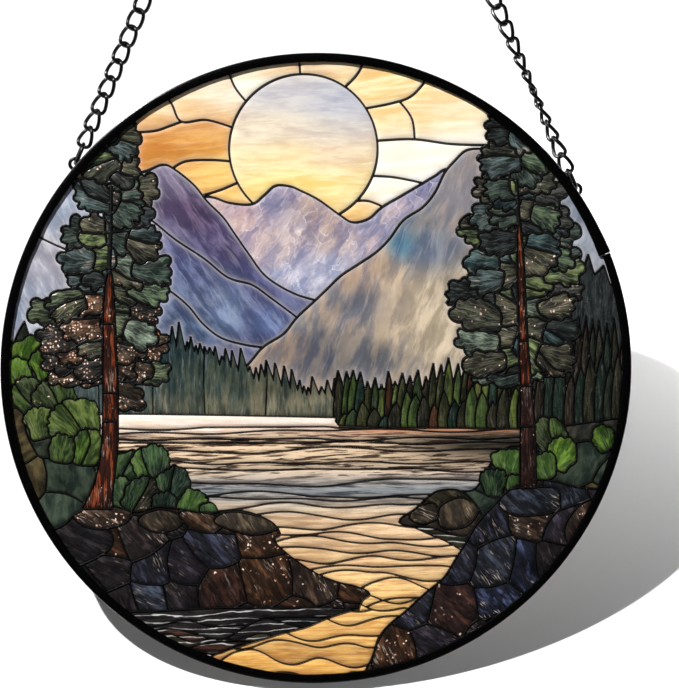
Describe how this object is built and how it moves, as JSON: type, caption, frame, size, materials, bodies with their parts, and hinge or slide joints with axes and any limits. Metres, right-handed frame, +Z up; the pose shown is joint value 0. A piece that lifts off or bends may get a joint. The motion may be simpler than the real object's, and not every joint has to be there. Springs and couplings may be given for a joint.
{
  "type": "stained glass suncatcher",
  "caption": "Round leaded panel of coloured opal glass panes in a black metal rim, hung on two chains from one ring.",
  "frame": {"origin": "where a hook carries the top ring: the highest point of the ring's eye", "axes": "+Z up along the hanging object, +X to the right of someone who looks at its front, -Y out of its front"},
  "size_m": [0.2004, 0.0086, 0.3532],
  "materials": {
    "black_metal": "satin black",
    "lead": "black patina",
    "sun": "glossy streaked opal glass",
    "sky": "glossy streaked opal glass",
    "far_peak": "glossy streaked opal glass",
    "left_mountain": "glossy streaked opal glass",
    "right_mountain": "glossy streaked opal glass",
    "far_forest": "glossy streaked opal glass",
    "near_forest": "glossy streaked opal glass",
    "lake": "glossy streaked opal glass",
    "pine_trunk": "glossy streaked opal glass",
    "pine_bough": "glossy streaked opal glass",
    "bush": "glossy streaked opal glass",
    "bank": "glossy streaked opal glass",
    "rock": "glossy streaked opal glass",
    "shallows": "glossy streaked opal glass"
  },
  "bodies": {
    "root": {"bank_1": "bank", "bank_2": "bank", "bank_3": "bank", "bush_1": "bush", "bush_2": "bush", "chain_left": "black_metal", "chain_right": "black_metal", "far_forest": "far_forest", "far_peak": "far_peak", "hanging_ring_left": "black_metal", "hanging_ring_right": "black_metal", "lake_1": "lake", "lake_2": "lake", "lake_3": "lake", "lake_4": "lake", "lake_5": "lake", "lake_6": "lake", "lead_lines": "lead", "left_mountain_1": "left_mountain", "left_mountain_2": "left_mountain", "left_mountain_3": "left_mountain", "left_mountain_4": "left_mountain", "near_forest_1": "near_forest", "near_forest_2": "near_forest", "near_forest_3": "near_forest", "pine_bough_1": "pine_bough", "pine_bough_10": "pine_bough", "pine_bough_11": "pine_bough", "pine_bough_12": "pine_bough", "pine_bough_13": "pine_bough", "pine_bough_2": "pine_bough", "pine_bough_3": "pine_bough", "pine_bough_4": "pine_bough", "pine_bough_5": "pine_bough", "pine_bough_6": "pine_bough", "pine_bough_7": "pine_bough", "pine_bough_8": "pine_bough", "pine_bough_9": "pine_bough", "pine_trunk_1": "pine_trunk", "pine_trunk_2": "pine_trunk", "right_mountain": "right_mountain", "rim": "black_metal", "rock_1": "rock", "rock_2": "rock", "rock_3": "rock", "rock_4": "rock", "rock_5": "rock", "rock_6": "rock", "rock_7": "rock", "rock_8": "rock", "shallows": "shallows", "sky_1": "sky", "sky_2": "sky", "sky_3": "sky", "sky_4": "sky", "sky_5": "sky", "sky_6": "sky", "sky_7": "sky", "sun": "sun", "top_ring": "black_metal"}
  },
  "joints": []
}
